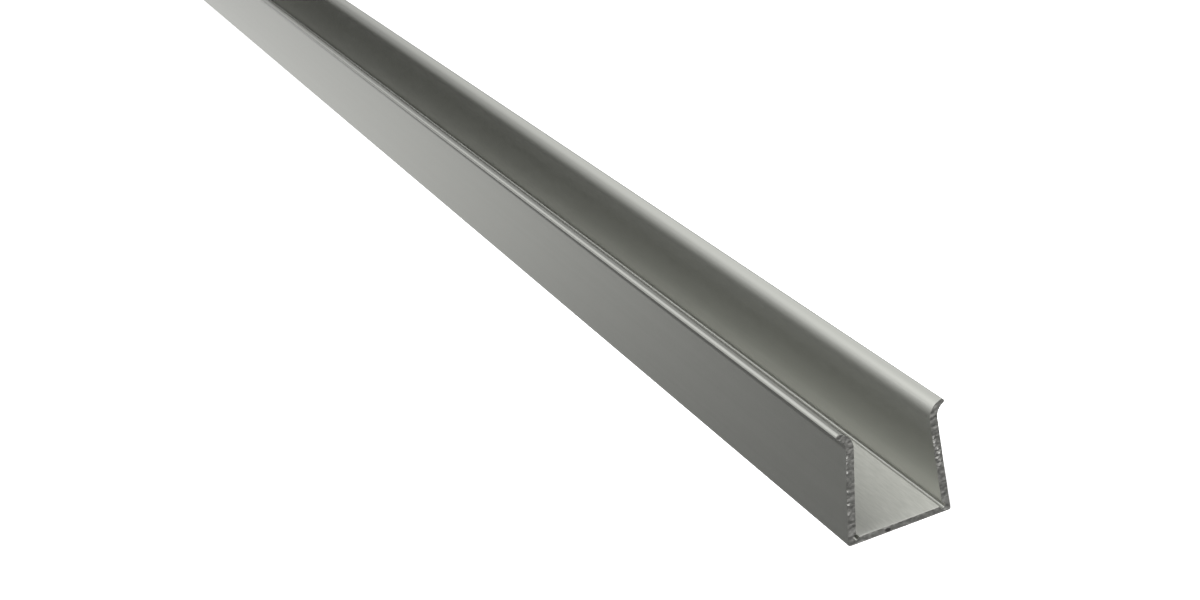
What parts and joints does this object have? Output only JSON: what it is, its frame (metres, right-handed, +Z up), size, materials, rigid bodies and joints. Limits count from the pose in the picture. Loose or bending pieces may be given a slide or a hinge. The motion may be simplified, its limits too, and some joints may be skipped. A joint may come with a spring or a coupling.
{
  "type": "aluminium extrusion profile",
  "caption": "Straight open U-channel extrusion with walls leaning in to a throat and lips curled outward, for clipping in and guiding a flexible tube, cable or light strip.",
  "frame": {"origin": "middle of the flat underside, halfway along the length", "axes": "+X across the section, +Y along the length away from the end that the picture shows, +Z up out of the channel's mouth"},
  "size_m": [0.0164, 1, 0.0169],
  "materials": {
    "anodised_aluminium": "satin"
  },
  "bodies": {
    "root": {"channel_profile": "anodised_aluminium"}
  },
  "joints": []
}
